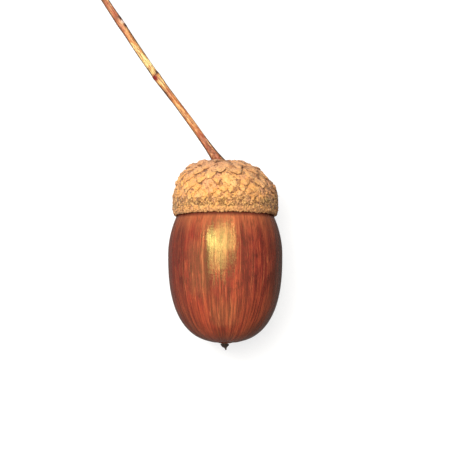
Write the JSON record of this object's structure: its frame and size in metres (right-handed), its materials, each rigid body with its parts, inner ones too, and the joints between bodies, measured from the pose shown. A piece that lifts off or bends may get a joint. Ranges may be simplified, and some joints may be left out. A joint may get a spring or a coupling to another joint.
{
  "type": "acorn",
  "caption": "Ripe oak acorn lying on its side: a smooth barrel-shaped nut with a withered style tip, seated in a scaly cup-shaped cap on a long thin woody stalk.",
  "frame": {"origin": "centre of the small flat spot under the nut, on which the acorn rests, so z = 0 is the table", "axes": "+Z up; +Y along the acorn from the nut's tip towards the cap and the stalk, which is the longest extent; +X to the right when seen from above with +Y up, and the stalk runs out to -X"},
  "size_m": [0.0335, 0.0638, 0.018],
  "materials": {
    "nut_shell": "glossy waxy red-brown nut shell with light orange and dark red streaks from pole to pole",
    "cap_scales": "matt tan-gold overlapping scales with a felted surface, darker in the gaps between them",
    "dry_style": "matt, withered and nearly black-brown",
    "stalk_bark": "satin orange-brown bark with fine ribs along it, redder near the cap and at the scars"
  },
  "bodies": {
    "root": {"nut": "nut_shell", "cap": "cap_scales", "style_tip": "dry_style", "stalk": "stalk_bark"}
  },
  "joints": []
}
